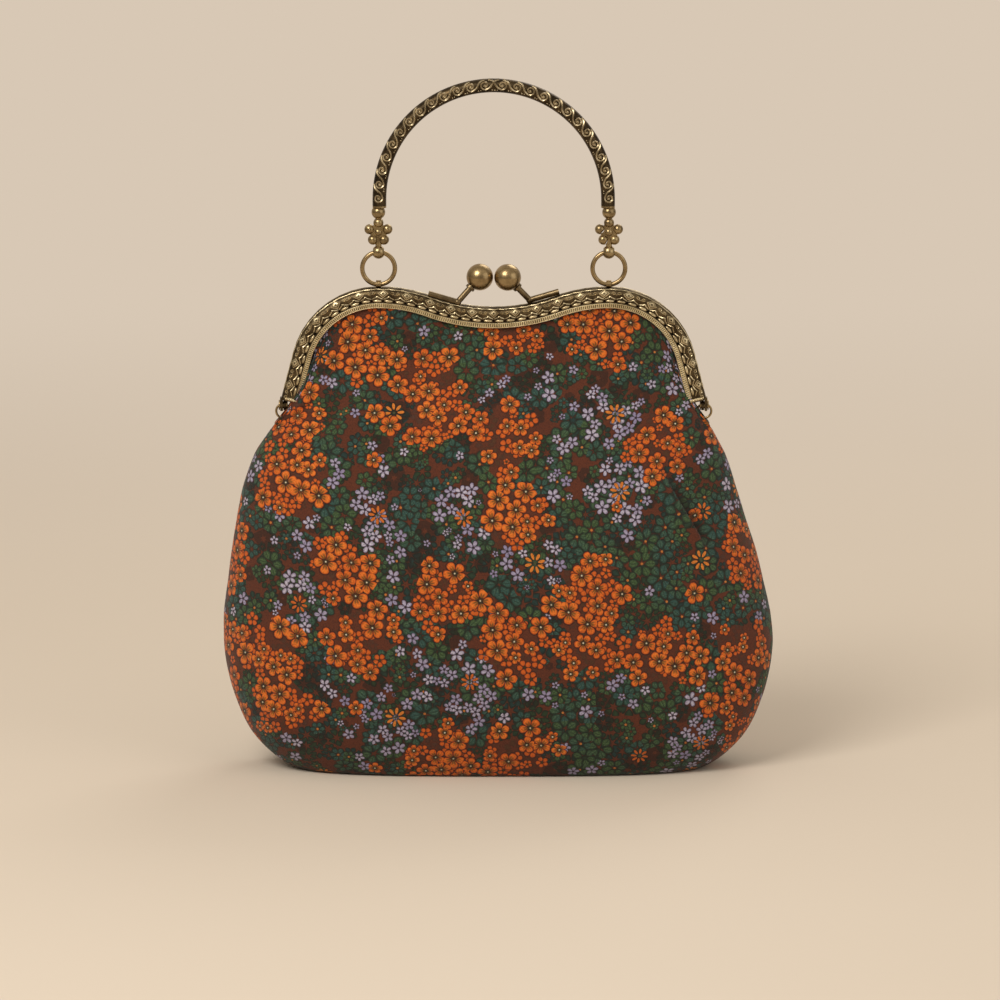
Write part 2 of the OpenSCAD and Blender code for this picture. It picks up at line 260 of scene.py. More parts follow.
@dataclass(frozen=True)
class Brass:
    """Antique brass: worn bright metal over a dark patina."""

    name: str
    bright: tuple[int, int, int]
    dark: tuple[int, int, int]
    wear: float
    rough: float
    grit: float = 0.16
    split_z: "float | None" = None

    def make(self) -> Material:
        """Builds the metal, with a brighter lower end where split_z is given."""
        g = Graph(self.name)
        at = g.out(g.node("TexCoord"), "Object")
        cloud = g.noise(at, 240.0, 3.0)
        grain = g.noise(at, 2600.0, 2.0)
        worn = g.step(cloud + grain * 0.35, 0.8 - self.wear * 0.7, 1.36 - self.wear * 0.5)
        tone = g.mix(worn, srgb(*self.dark), srgb(*self.bright))
        low = None
        if self.split_z is not None:
            low = g.step(g.split(at)[2], self.split_z - 0.0002, self.split_z + 0.0002, 1.0, 0.0)
            shine = g.mix(g.step(cloud, 0.3, 0.7), srgb(124, 106, 76), srgb(166, 146, 108))
            tone = g.mix(low, tone, shine)
        rough = grain * self.grit + (self.rough - self.grit / 2) + (1 - worn) * (self.grit * 0.6)
        if low is not None:
            rough = rough + (0.27 - rough) * low
        bump = g.bump(self.grit * 0.7, 0.0002, grain)
        return g.surface({"Metallic": 1.0},
                         {"Base Color": tone, "Roughness": rough, "Normal": bump})


@dataclass(frozen=True)
class Bloom:
    """One kind of flower of the print; lengths in mm, petal sizes as shares of the radius."""

    spacing: float
    petals: int
    radius: float
    seat: float
    long: float
    wide: float
    jitter: float = 0.75
    shift: float = 0.0
    room: float = 1.3
    turn: float = 0.0
    pointed: bool = False

    def sow(self, g: Graph, cloth: Value) -> dict[str, Value]:
        """Spreads the flower over the cloth, one to a cell.

        Args:
            g: The print's graph.
            cloth: Cloth coordinates in mm.

        Returns:
            The petal distance, 1 at its edge, and what varies from flower to flower.
        """
        offset = (self.shift * 37.3, self.shift * 91.7, 0.0)
        at = g.vector("ADD", g.turned(cloth, self.turn), offset)
        cell = g.cells(at, self.spacing, self.jitter)
        room = g.cells(at, self.spacing, self.jitter, "N_SPHERE_RADIUS")
        centre = g.out(cell, "Position")
        chance, tone, spin = g.lots(cell)
        x, y, _ = g.split(g.vector("SUBTRACT", at, centre))
        free = g.out(room, "Radius") * (self.spacing * self.room)
        size = g.math("MINIMUM", free, self.radius) * (tone * 0.2 + 0.85)
        r = g.math("SQRT", x * x + y * y)
        angle = g.math("ARCTAN2", y, x) + spin * TAU
        fold = g.math("WRAP", angle, math.pi / self.petals, -math.pi / self.petals)
        px = r * g.math("COSINE", fold) / size
        py = r * g.math("SINE", fold) / size
        along = (px - self.seat) / self.long
        across = py / ((px * 0.6 + 0.6) * self.wide)
        edge = along * along + (g.math("ABSOLUTE", across) if self.pointed else across * across)
        if not self.pointed:
            edge = g.math("SQRT", edge)
        home = g.turned(g.vector("SUBTRACT", centre, offset), -self.turn)
        patch = g.cells(home, PATCH, 0.8)
        return {"edge": edge, "r": r, "px": px, "py": py, "chance": chance, "tone": tone,
                "kind": g.lots(patch)[0], "ring": g.out(patch, "Distance")}


@dataclass(frozen=True)
class FloralCloth:
    """Woven cloth with a ditsy print: orange blooms, lilac stars and dense leaves on dark brown."""

    name: str = "floral_cloth_print"
    under: Bloom = Bloom(7.2, 6, 6.6, 0.6, 0.42, 0.36, jitter=0.9, shift=3.0, room=1.9, turn=0.5,
                         pointed=True)
    leaf: Bloom = Bloom(9.4, 6, 7.6, 0.58, 0.42, 0.36, jitter=0.85, shift=1.0, room=1.7, turn=1.0,
                        pointed=True)
    star: Bloom = Bloom(6.4, 5, 3.7, 0.56, 0.46, 0.3, jitter=0.8, shift=5.0, room=1.35, turn=0.8)
    burst: Bloom = Bloom(PATCH, 8, 5.2, 0.62, 0.34, 0.15, jitter=0.8)
    bud: Bloom = Bloom(6.8, 5, 3.7, 0.6, 0.4, 0.38, jitter=0.7, shift=9.0, room=1.4, turn=1.2)
    bloom: Bloom = Bloom(9.7, 5, 5.9, 0.6, 0.4, 0.38, jitter=0.62, shift=2.0, room=1.38, turn=0.35)

    def make(self) -> Material:
        """Builds the print from the ground up, layer over layer, and paints shade on it."""
        g = Graph(self.name)
        cloth, thread = g.weave(0.7)
        fuzz = g.noise(cloth, 0.9, 3.0)
        stitch = g.noise(cloth, 1.4, 3.0)
        drift = g.noise(cloth, 0.045, 1.0)
        tint = g.mix(fuzz, srgb(70, 32, 19), srgb(104, 52, 29))
        height = fuzz * 0.2

        def over(share: Value, *colour: int) -> None:
            """Lays a plain colour over the print."""
            nonlocal tint
            tint = g.mix(share, tint, srgb(*colour))

        under = self.under.sow(g, cloth)
        free = g.math("MAXIMUM", under["kind"] > 0.5, under["ring"] > 0.36)
        shown = g.step(under["edge"], 1.0, 0.85) * (under["chance"] > 0.1) * (free * 0.7 + 0.3)
        leaf = g.mix(g.step(drift + under["tone"] * 0.3, 0.5, 0.8), srgb(40, 57, 34),
                     srgb(30, 54, 52))
        tint = g.mix(shown, tint, g.mix(g.step(under["edge"], 0.1, 1.0), leaf, srgb(26, 28, 20)))
        height = height + shown * 0.15

        leaves = self.leaf.sow(g, cloth)
        free = g.math("MAXIMUM", leaves["kind"] > 0.5, leaves["ring"] > 0.4)
        shown = g.step(leaves["edge"], 1.0, 0.88) * (leaves["chance"] > 0.12) * free
        leaf = g.mix(g.step(drift + leaves["tone"] * 0.35, 0.55, 0.85), srgb(60, 83, 48),
                     srgb(42, 76, 73))
        vein = g.step(g.math("ABSOLUTE", leaves["py"]), 0.0, 0.045, 0.8, 0.0)
        leaf = g.mix(g.step(stitch, 0.45, 0.75, 0.0, 0.4), leaf, srgb(104, 124, 92))
        leaf = g.mix(g.step(leaves["edge"], 0.35, 0.95), leaf, srgb(24, 38, 28))
        over(g.step(leaves["edge"], 1.4, 1.0) * free * 0.6, 30, 24, 18)
        tint = g.mix(shown, tint, g.mix(vein, leaf, srgb(28, 46, 34)))
        heart = g.step(leaves["r"], 0.75, 0.4) * (leaves["chance"] > 0.45) * free
        over(heart, 186, 112, 50)
        height = height + shown * (1 - leaves["edge"] * leaves["edge"]) * 0.4

        star = self.star.sow(g, cloth)
        wreath = (star["kind"] < 0.64) * (star["ring"] > 0.17) * (star["ring"] < 0.38)
        spray = (star["kind"] > 0.64) * (star["kind"] < 0.84) * (star["ring"] < 0.44)
        lilac = (star["kind"] > 0.5) * g.math("MAXIMUM", wreath, spray * (star["chance"] > 0.12))
        lilac = g.math("MAXIMUM", lilac, (star["ring"] > 0.5) * (star["chance"] < 0.24))
        shown = g.step(star["edge"], 1.0, 0.86) * lilac
        petal = g.mix(star["tone"], srgb(148, 140, 172), srgb(200, 194, 208))
        petal = g.mix(g.step(stitch, 0.4, 0.7, 0.35, 0.0), petal, srgb(112, 104, 132))
        over(g.step(star["edge"], 1.4, 1.0) * lilac * 0.85, 44, 26, 24)
        tint = g.mix(shown, tint, g.mix(g.step(star["edge"], 0.4, 1.0), petal, srgb(126, 114, 142)))
        over(g.step(star["r"], 0.8, 0.5) * lilac, 52, 42, 48)
        height = height + shown * 0.5

        burst = self.burst.sow(g, cloth)
        rays = burst["kind"] > 0.5
        shown = g.step(burst["edge"], 1.0, 0.85) * rays
        over(g.step(burst["edge"], 1.6, 1.0) * rays * 0.8, 34, 28, 18)
        tint = g.mix(shown, tint, g.mix(burst["tone"], srgb(194, 92, 28), srgb(212, 128, 48)))
        over(g.step(burst["r"], 0.8, 0.5) * rays, 70, 72, 44)
        height = height + shown * 0.5

        bud = self.bud.sow(g, cloth)
        here = (bud["kind"] < 0.5) * (bud["ring"] < 0.46) * (bud["chance"] > 0.4)
        shown = g.step(bud["edge"], 1.0, 0.88) * here
        over(g.step(bud["edge"], 1.3, 1.0) * here * 0.9, 44, 22, 14)
        petal = g.mix(g.step(bud["edge"], 0.5, 1.0), srgb(200, 92, 26), srgb(148, 60, 18))
        tint = g.mix(shown, tint, petal)
        over(g.step(bud["r"], 0.8, 0.5) * here, 64, 50, 26)
        height = height + shown * 0.5

        bloom = self.bloom.sow(g, cloth)
        here = g.math("MAXIMUM",
                      (bloom["kind"] < 0.5) * (bloom["ring"] < 0.515) * (bloom["chance"] > 0.05),
                      (bloom["chance"] < 0.05) * (bloom["kind"] > 0.8))
        shown = g.step(bloom["edge"], 1.0, 0.9) * here
        over(g.step(bloom["edge"], 1.3, 1.0) * here * 0.9, 44, 22, 14)
        petal = g.mix(bloom["tone"], srgb(206, 92, 22), srgb(224, 116, 36))
        petal = g.mix(g.step(stitch, 0.42, 0.72, 0.0, 0.4), petal, srgb(228, 134, 56))
        petal = g.mix(g.step(bloom["edge"], 0.6, 1.0), petal, srgb(158, 60, 16))
        fork = g.math("ABSOLUTE", g.math("ABSOLUTE", bloom["py"]) - bloom["px"] * 0.2)
        streak = g.step(fork, 0.02, 0.13, 1.0, 0.0) * g.step(bloom["px"], 0.72, 0.45)
        petal = g.mix(streak * 0.85, petal, srgb(82, 66, 26))
        tint = g.mix(shown, tint, petal)
        over(g.step(bloom["r"], 1.15, 0.75) * here, 58, 48, 26)
        over(g.step(bloom["r"], 0.5, 0.3) * here, 206, 194, 168)
        height = height + shown * (1 - bloom["edge"] * bloom["edge"] * 0.8) * 0.9
        height = height - streak * shown * 0.3

        over(g.step(thread + fuzz, 0.3, 1.6, 0.0, 0.25), 22, 14, 10)
        over(g.step(stitch, 0.5, 0.3, 0.0, 0.45), 30, 18, 12)
        # Painted shade: darkens the cloth under the frame's rim and along the strip under the
        # lapped crease, where the lap attribute is set.
        lap = g.out(g.node("Attribute", {"attribute_name": "lap"}), "Fac")
        over(lap * 0.9, 26, 18, 13)
        relief = g.bump(0.7, 0.0006, height + thread * 0.16 + stitch * 0.35)
        return g.surface({"Sheen Weight": 0.12, "Sheen Roughness": 0.5, "Specular IOR Level": 0.25},
                         {"Base Color": tint, "Roughness": fuzz * 0.15 + 0.72, "Normal": relief})


@dataclass(frozen=True)
class PlainCloth:
    """Plain cotton in a close weave, for the lining."""

    name: str = "lining_cotton"
    light: tuple[int, int, int] = (150, 116, 84)
    dark: tuple[int, int, int] = (118, 88, 62)

    def make(self) -> Material:
        """Builds the cotton."""
        g = Graph(self.name)
        cloth, thread = g.weave(0.8)
        slub = g.noise(cloth, 0.5, 3.0)
        tint = g.mix(g.step(thread * 0.3 + slub, 0.25, 0.8), srgb(*self.dark), srgb(*self.light))
        relief = g.bump(0.4, 0.0003, thread + slub)
        return g.surface({"Sheen Weight": 0.08, "Specular IOR Level": 0.25},
                         {"Base Color": tint, "Roughness": slub * 0.1 + 0.78, "Normal": relief})


@dataclass(frozen=True)
class Backdrop:
    """Pale matt paper under and behind the bag."""

    name: str = "backdrop_paper"

    def make(self) -> Material:
        """Builds the paper."""
        g = Graph(self.name)
        at = g.out(g.node("TexCoord"), "Object")
        tint = g.mix(g.noise(at, 2.0), srgb(205, 193, 178), srgb(210, 199, 185))
        matt = g.node("BsdfDiffuse", None, {"Color": tint})
        glow = g.node("Emission", None, {"Color": srgb(216, 200, 181), "Strength": 1.0})
        ray = g.node("LightPath")
        seen = g.math("MAXIMUM", g.out(ray, "Is Camera Ray"), g.out(ray, "Is Glossy Ray"))
        share = g.step(g.split(at)[1], 0.15, 1.6) * g.math("MAXIMUM", seen,
                                                           g.out(ray, "Is Transmission Ray"))
        mixed = g.node("MixShader", None, {0: share, 1: g.out(matt), 2: g.out(glow)})
        g.node("OutputMaterial", None, {"Surface": g.out(mixed)})
        return g.material


class Bench:
    """The hand tools: selecting, placing and joining meshes."""

    @staticmethod
    def edit() -> None:
        """Opens the active mesh with everything selected."""
        bpy.ops.object.mode_set(mode="EDIT")
        bpy.ops.mesh.select_all(action="SELECT")

    @staticmethod
    def active(name: str) -> Object:
        """Names the new primitive and returns it."""
        obj = bpy.context.active_object
        obj.name = name
        obj.data.name = name
        return obj

    @staticmethod
    def pick(obj: Object, test: Callable[[Vector, Vector], bool]) -> None:
        """Selects, in edit mode, the faces whose centre and normal pass the test."""
        bpy.ops.mesh.select_mode(type="FACE")
        bpy.ops.mesh.select_all(action="DESELECT")
        mesh = bmesh.from_edit_mesh(obj.data)
        for face in mesh.faces:
            face.select_set(test(face.calc_center_median(), face.normal))
        bmesh.update_edit_mesh(obj.data)

    @staticmethod
    def mesh(name: str, points: Array, faces: Array) -> Object:
        """Makes a mesh object at the origin from points in mm.

        Args:
            name: The piece's name.
            points: Rows of x, y, z in mm.
            faces: Rows of point numbers, or a list of them.

        Returns:
            The linked object.
        """
        data = bpy.data.meshes.new(name)
        data.from_pydata((points * MM).tolist(), [], [list(f) for f in faces])
        data.update()
        obj = bpy.data.objects.new(name, data)
        bpy.context.scene.collection.objects.link(obj)
        return obj

    @staticmethod
    def use(obj: Object) -> None:
        """Makes one object the only selected and active one."""
        bpy.ops.object.select_all(action="DESELECT")
        obj.select_set(True)
        bpy.context.view_layer.objects.active = obj

    @staticmethod
    def apply(obj: Object, kind: str, **settings: float) -> None:
        """Adds a modifier with its settings and applies it."""
        Bench.use(obj)
        modifier = obj.modifiers.new(kind.title(), kind)
        for key, setting in settings.items():
            setattr(modifier, key, setting)
        bpy.ops.object.modifier_apply(modifier=modifier.name)

    @staticmethod
    def dress(obj: Object, finish: Material, slot: str, body: "str | None") -> None:
        """Gives a piece its finish and, where a body is given, the body that carries it."""
        obj.data.materials.clear()
        obj.data.materials.append(finish)
        if body is not None:
            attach(obj, body)
        LOG.info("%s: %d faces", obj.name, len(obj.data.polygons))


@dataclass(frozen=True)
class FramePath:
    """The outer edge of a frame half from the middle dip over the crest to the leg, in mm."""

    crest_x: float = 55.0
    crest_z: float = 232.1
    dip_depth: float = 9.7
    shoulder_r: float = 42.5
    hump_r: float = 75.0
    lean: float = math.radians(15.0)
    leg_len: float = 22.5
    hole_d: float = 5.65
    hole_pitch: float = 5.4

    @property
    def bow(self) -> float:
        """Angle of the dip and of the hump."""
        return 2 * math.atan(self.dip_depth / self.crest_x)

    @property
    def dip_r(self) -> float:
        """Radius of the dip."""
        return self.crest_x / math.sin(self.bow) - self.hump_r

    def radii(self, d: float) -> tuple[float, float, float]:
        """Radii of the dip, hump and shoulder at depth d."""
        return self.dip_r + d, self.hump_r - d, self.shoulder_r - d

    def lengths(self, d: float) -> tuple[float, float, float]:
        """Lengths of the dip, hump and shoulder at depth d."""
        r0, r1, r2 = self.radii(d)
        return r0 * self.bow, r1 * self.bow, r2 * (math.pi / 2 - self.lean)

    def run(self, d: float) -> float:
        """Length of half the path at depth d."""
        return sum(self.lengths(d)) + self.leg_len

    def at(self, s: Array, d: float) -> tuple[Array, Array, Array, Array]:
        """Follows the path.

        Args:
            s: Signed distances from the middle, along the path at depth d.
            d: Depth below the outer edge.

        Returns:
            x, z and the inward normal's x and z.
        """
        a, side = np.abs(s), np.where(s < 0, -1.0, 1.0)
        l0, l1, l2 = self.lengths(d)
        r0, r1, r2 = self.radii(d)
        t0, t1, t2 = a / r0, self.bow - (a - l0) / r1, (a - l0 - l1) / r2
        q = a - l0 - l1 - l2
        turn = math.pi / 2 - self.lean
        top_x = self.crest_x + self.shoulder_r * math.sin(turn)
        top_z = self.crest_z - self.shoulder_r * (1 - math.cos(turn))
        where = [a <= l0, a <= l0 + l1, a <= l0 + l1 + l2]
        dip_z = self.crest_z - self.dip_depth + self.dip_r
        x = np.select(where, [r0 * np.sin(t0), self.crest_x - r1 * np.sin(t1),
                              self.crest_x + r2 * np.sin(t2)],
                      top_x - d * math.cos(self.lean) + q * math.sin(self.lean))
        z = np.select(where, [dip_z - r0 * np.cos(t0), self.crest_z - self.hump_r + r1 * np.cos(t1),
                              self.crest_z - self.shoulder_r + r2 * np.cos(t2)],
                      top_z - d * math.sin(self.lean) - q * math.cos(self.lean))
        nx = np.select(where, [np.sin(t0), np.sin(t1), -np.sin(t2)], -math.cos(self.lean))
        nz = np.select(where, [-np.cos(t0), -np.cos(t1), -np.cos(t2)], -math.sin(self.lean))
        return x * side, z, nx * side, nz

    @property
    def hole_run(self) -> float:
        """Length of half the row of stitch holes, out to the leg's end."""
        return self.run(self.hole_d)

    def put(self, s: Array, d: Array, w: Array) -> Array:
        """Points at distance s along the hole row, depth d and w out from the middle plane."""
        x, z, nx, nz = self.at(s, self.hole_d)
        return np.stack([x + (d - self.hole_d) * nx, -w, z + (d - self.hole_d) * nz], axis=-1)

    def holes(self) -> Array:
        """Distances of the stitch holes along their row."""
        count = math.floor((self.hole_run - 3) / self.hole_pitch)
        return np.arange(-count, count + 1) * self.hole_pitch


@dataclass(frozen=True)
class Crease:
    """A fold of the cloth between two points of the front, in mm; a lapped one hides a strip and
    paints shade on it.
    """

    start: tuple[float, float]
    end: tuple[float, float]
    deep: float
    lapped: bool = False


@dataclass
class BagCloth:
    """One side of the bag: cloth from the base seam up into the frame's slot, in mm."""

    side: Side
    path: FramePath = field(default_factory=FramePath)
    base: tuple[float, float] = (194.0, 62.0)
    belly: tuple[float, float] = (262.6, 90.0)
    neck: tuple[float, float] = (208.0, 37.0)
    belly_z: float = 60.0
    neck_z: float = 174.467
    drop: float = 11.0
    side_z: float = 166.467
    slot_w: float = 4.3
    lap_d: float = 10.0
    edge_d: float = 3.6
    columns: int = 200
    rows: tuple[int, int, int, int] = (8, 84, 30, 4)
    cloth_t: float = 1.6
    lining_t: float = 0.8
    lining_in: float = 1.9
    slot_end: float = 3.4
    seam_share: float = 0.43
    seam_x: float = 2.6
    bend_z: tuple[float, float] = (0.168, 0.194)
    creases: tuple[Crease, ...] = (Crease((84.0, 140.0), (99.0, 115.0), 2.7, lapped=True),
                                   Crease((-103.0, 167.0), (-86.0, 180.0), -1.9),
                                   Crease((-112.0, 40.0), (-96.0, 22.0), 0.8))

    def swell(self, z: Array, low: float, mid: float, top: float, end: float) -> Array:
        """A size at each height: out from the base to the belly, then in to the neck."""
        up = np.clip(z / self.belly_z, 0, 1)
        rise = low + (mid - low) * (1 - (1 - up) ** 2) ** 0.7
        fall = mid - (mid - top) * (np.maximum(z - self.belly_z, 0) / (end - self.belly_z)) ** 1.7
        return np.where(z < self.belly_z, rise, fall)

    def lean(self, z: Array) -> Array:
        """How far the soft body sits to one side at each height."""
        heights = [0, 33, 63, 77, 92, 106, 121, 136, 155, 165, 174]
        return np.interp(z, heights, [2.6, 2.5, 2.2, 1.5, 0.8, 0.0, -1.3, -2.1, -1.8, -1.0, 0.0])

    def folds(self, u: Array, z: Array) -> Array:
        """Gathers that fan down from the frame and soft lumps, as outward push."""
        phase = 0.0 if self.side is Side.FRONT else 1.7
        gather = (np.cos(TAU * (2.6 * u + 0.1) + phase)
                  + 0.8 * np.cos(TAU * (4.3 * u - 0.23) + 2 * phase)
                  + 0.6 * np.cos(TAU * (7.1 * u + 0.31) - phase))
        near = np.clip((z - 95) / 80, 0, 1) ** 2
        push = 0.9 * gather * near
        push += 0.9 * np.sin(0.031 * z + 5.1 * u + phase) * np.sin(3.7 * u - 0.023 * z + 0.6)
        return push

    def tuck(self, grid: Array) -> tuple[Array, Array]:
        """Creases of the front, where one edge stands over the other.

        Args:
            grid: The smooth rows of points.

        Returns:
            The shift of every point, and the painted shade of the strip under a lapped edge, from 0
            to 1.
        """
        x, z = grid[..., 0], grid[..., 2]
        shift, painted_shade = np.zeros_like(grid), np.zeros_like(x)
        for crease in self.creases:
            (x0, z0), (x1, z1), deep = crease.start, crease.end, crease.deep
            long = math.hypot(x1 - x0, z1 - z0)
            along = ((x - x0) * (x1 - x0) + (z - z0) * (z1 - z0)) / long
            off = ((x - x0) * (z1 - z0) - (z - z0) * (x1 - x0)) / long
            past = np.maximum(0.0, np.abs(along - long / 2) - long / 3)
            fade = np.exp(-(past / (0.3 * long)) ** 2)
            shift[..., 1] -= deep * np.tanh(off / 0.9) * np.exp(-np.abs(off) / 7.0) * fade
            if crease.lapped:
                lap = -0.6 * deep * off / 1.5 * np.exp(0.5 - (off / 1.5) ** 2 / 2) * fade
                shift[..., 0] += lap * (z1 - z0) / long
                shift[..., 2] -= lap * (x1 - x0) / long
                # Painted shade along the strip under the lapped edge.
                painted_shade += np.exp(-((off + 1.6) / 1.5) ** 2) * fade
        return shift * np.clip(-grid[..., 1:2] / 12, 0, 1), np.clip(painted_shade, 0, 1)

    def body(self, u: Array, h: float) -> Array:
        """The row of points at a share h of the way up to the neck."""
        phi = u * math.pi / 2
        z = h * (self.neck_z - self.drop * np.abs(np.sin(phi)) ** 14)
        n = 3 - 0.8 * np.minimum(1, z / self.belly_z)
        half_w = self.swell(z, self.base[0] / 2, self.belly[0] / 2, self.neck[0] / 2, self.side_z)
        puff_z = [0, 17, 31, 46, 61, 75, 90, 105, 119, 134, 145, 153, 163, 167]
        puff = [1, 1.9, 0.8, 0.7, 1.2, 1.4, 0.8, 1.2, 1.4, 2.4, 2.9, 2.9, 0.9, 0]
        half_w = half_w + np.interp(z, puff_z, puff)
        half_d = self.swell(z, self.base[1] / 2, self.belly[1] / 2, self.neck[1] / 2, self.neck_z)
        share = np.abs(np.cos(phi)) ** (2 / n)
        x = half_w * np.sign(u) * np.abs(np.sin(phi)) ** (2 / n)
        x = x + self.side.sign * self.lean(z)
        push = self.folds(u, z) * np.clip(z / 30, 0, 1)
        return np.stack([x, -(half_d + push) * share, z], axis=-1)

    def held(self, u: Array, d: float) -> Array:
        """The row of points held in the frame's slot at depth d."""
        x, z, _, _ = self.path.at(u * (self.path.run(d) - self.slot_end), d)
        return np.stack([x, np.full_like(x, -self.slot_w), z], axis=-1)

    def grid(self) -> Array:
        """All rows of points, from the base seam to the cloth's edge in the slot."""
        u = np.linspace(-1, 1, self.columns + 1)
        seam_x = self.seam_share * self.base[0] * u + self.side.sign * self.seam_x
        seam = np.stack([seam_x, 0 * u, 0 * u], axis=-1)
        low, mid, up, last = self.rows
        first = self.body(u, 0.0)
        rows = [seam + (first - seam) * (k / low) for k in range(low)]
        rows += [self.body(u, (k / mid) ** 1.5) for k in range(mid + 1)]
        start, end, edge = rows[-1], self.held(u, self.lap_d), self.held(u, self.edge_d)
        ends = np.abs(u) ** 8
        sharp = 1.7 + 4.3 * ends
        for k in range(1, up + 1):
            e = k / up
            row = start + (end - start) * e
            row[:, 1] = end[:, 1] + (start[:, 1] - end[:, 1]) * (1 - e) ** sharp
            rows.append(row)
        rows += [end + (edge - end) * (k / last) for k in range(1, last + 1)]
        grid = np.array(rows)
        keep = low + mid + up - 6
        for _ in range(8):
            near = (grid[:-2, 1:-1] + grid[2:, 1:-1] + grid[1:-1, :-2] + grid[1:-1, 2:]) / 4
            near[:, :, 2] = np.where(grid[1:-1, 1:-1, 2] < 0.01, 0.0, near[:, :, 2])
            grid[1:keep, 1:-1] += 0.5 * (near - grid[1:-1, 1:-1])[:keep - 1]
        return grid

    @staticmethod
    def arcs(grid: Array) -> Array:
        """Cloth coordinates in mm, along the rows from the middle and along the columns."""
        across = np.linalg.norm(np.diff(grid, axis=1), axis=2)
        u = np.concatenate([np.zeros((len(grid), 1)), np.cumsum(across, axis=1)], axis=1)
        u -= u[:, [grid.shape[1] // 2]]
        along = np.linalg.norm(np.diff(grid, axis=0), axis=2)
        v = np.concatenate([np.zeros((1, grid.shape[1])), np.cumsum(along, axis=0)], axis=0)
        middle = len(grid) // 3
        v = v - v[[middle]] + v[middle].mean()
        return np.stack([u, v], axis=-1)

    def lined(self, grid: Array, shift: Array, inset: float) -> tuple[Array, Array]:
        """Moves the cloth's grid inwards for the lining.

        Args:
            grid: The outer cloth's smooth rows of points.
            shift: The shift of its points in the creases.
            inset: How far inside the outer cloth the lining lies, in mm.

        Returns:
            The lining's rows of points, and their own shift, which only goes inwards.
        """
        du = np.gradient(grid, axis=1)
        dv = np.gradient(grid, axis=0)
        out = np.cross(du, dv)
        out /= np.maximum(np.linalg.norm(out, axis=2, keepdims=True), 1e-9)
        out[:, [0, -1], 1] = 0.0
        u = np.linspace(-1, 1, self.columns + 1)
        level = np.arange(len(grid))[:, None] - sum(self.rows[:2])
        middle = np.clip((0.85 - np.abs(u)) / 0.1, 0, 1)
        plain = np.zeros_like(grid)
        plain[..., 0] = np.sign(u) * np.clip((np.abs(u) - 0.7) / 0.15, 0, 1) * 1.4
        plain[..., 1] = -(middle + (1 - middle) * 0.5 * np.clip((level - 8) / 8, 0, 1))
        share = np.clip((level + 16) / 14, 0, 1)[..., None]
        grid = grid - inset * (out + (plain - out) * share)
        grid[..., 1] = np.where(share[..., 0] > 0, np.minimum(grid[..., 1], -0.25), grid[..., 1])
        near = [np.roll(shift[..., 1], (i, j), (0, 1)) for i in (-2, 0, 2) for j in (-2, 0, 2)]
        return grid, np.maximum(np.max(near, axis=0), 0.0)[..., None] * np.array([0.0, 1.5, 0.0])

    def build(self, name: str, inset: float, thick: float, thin: int) -> tuple[Object, Array]:
        """Makes the sheet.

        Args:
            name: The piece's name.
            inset: How far inside the outer surface it lies, in mm.
            thick: The cloth's thickness, in mm.
            thin: Takes every thin-th row and column.

        Returns:
            The finished sheet, and the cloth coordinates of its grid.
        """
        grid = self.grid()
        shift, painted_shade = np.zeros_like(grid), np.zeros(grid.shape[:2])
        if self.side is Side.FRONT:
            shift, painted_shade = self.tuck(grid)
        if inset:
            grid, shift = self.lined(grid, shift, inset)
        rows = np.unique(np.append(np.arange(0, len(grid), thin), len(grid) - 1))
        cols = np.arange(0, grid.shape[1], thin)
        pick = np.ix_(rows, cols)
        flat = self.arcs(grid[pick])
        grid = (grid + shift)[pick]
        r, c = grid.shape[:2]
        p = (np.arange(r - 1)[:, None] * c + np.arange(c - 1)).ravel()
        faces = np.stack([p, p + 1, p + c + 1, p + c], axis=1)
        points = grid.reshape(-1, 3) * np.array([self.side.sign, self.side.sign, 1.0])
        obj = Bench.mesh(name, points, faces)
        uv = obj.data.uv_layers.new(name="cloth")
        spots = (flat.reshape(-1, 2) + np.array(self.side.print_at)) * MM
        uv.data.foreach_set("uv", spots[faces.ravel()].ravel().astype(np.float32))
        # The lap attribute carries painted shade: the rows inside the frame's slot, under its rim,
        # and the strip under the lapped crease.
        lap = obj.data.attributes.new("lap", "FLOAT", "POINT")
        inside = np.arange(len(rows)) > np.searchsorted(rows, sum(self.rows[:3]))
        painted_shade = np.maximum(inside[:, None], painted_shade[pick])
        lap.data.foreach_set("value", painted_shade.ravel().astype(np.float32))
        Bench.apply(obj, "SOLIDIFY", thickness=thick * MM, offset=-1.0, use_even_offset=False)
        Bench.use(obj)
        bpy.ops.object.shade_smooth()
        return obj, flat

    def dress(self, print_: Material, cotton: Material) -> None:
        """Builds the outer cloth and the lining, and hides the model's panels and linings."""
        label = self.side.value
        for name, inset, thick, thin, finish, slot, nodes in (
                (f"{label}_cloth", 0.0, self.cloth_t, 1, print_, "floral_cloth",
                 ("panel", "mouth_panel")),
                (f"{label}_lining_cloth", self.lining_in, self.lining_t, 2, cotton, "lining",
                 ("lining", "mouth_lining"))):
            obj, flat = self.build(name, inset, thick, thin)
            Bench.dress(obj, finish, slot, None)
            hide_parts(*(f"{label}_{n}" for n in nodes))
            self.side.body
            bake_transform(obj)


